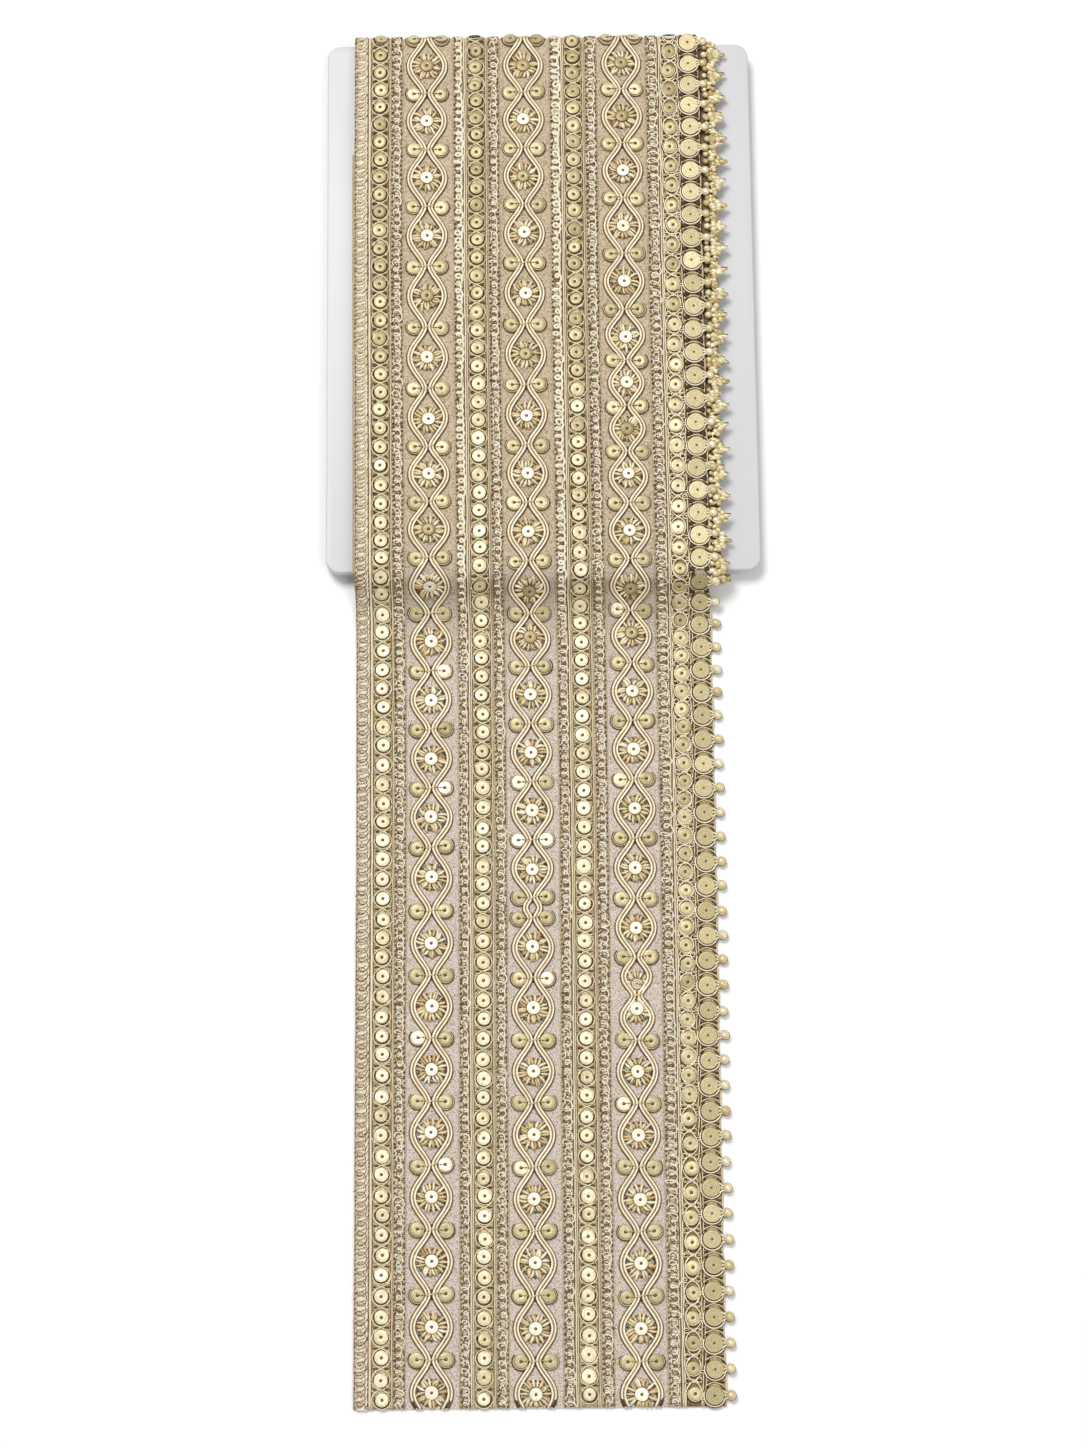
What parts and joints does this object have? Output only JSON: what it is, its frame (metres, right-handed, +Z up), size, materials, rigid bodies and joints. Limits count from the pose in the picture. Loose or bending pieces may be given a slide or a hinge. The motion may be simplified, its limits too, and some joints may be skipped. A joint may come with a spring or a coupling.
{
  "type": "sequin trim wound on a board",
  "caption": "Wide embroidered net trim with sequin rows, ogee cords and a bead-drop edge, wound flat round a white board with its cut end laid out in front.",
  "frame": {"origin": "middle of the bounding box, on the surface that the trim and board lie on", "axes": "+Y along the trim from its loose cut end towards the board's far edge, +X across it towards the bead drops, +Z up"},
  "size_m": [0.125, 0.4054, 0.0107],
  "materials": {
    "board": "smooth white coated board with a faint satin sheen",
    "net": "fine sheer net, pale mauve-beige",
    "thread": "pale gold embroidery thread in chain and zigzag stitches, soft lustre",
    "cord": "twisted metallic gold cord, bright lustre",
    "sequin": "champagne-gold metallised film, satin to glossy"
  },
  "bodies": {
    "root": {"board": "board", "trim_ground": "net", "edge_braid": "thread", "thread_band_1": "thread", "thread_band_2": "thread", "thread_band_3": "thread", "thread_band_4": "thread", "thread_band_5": "thread", "thread_band_6": "thread", "scroll_band": "cord", "sequin_row_1": "sequin", "sequin_row_2": "sequin", "sequin_row_3": "sequin", "ogee_cord_1": "cord", "ogee_cord_2": "cord", "ogee_cord_3": "cord", "bead_edging": "sequin", "under_edging": "sequin"}
  },
  "joints": []
}
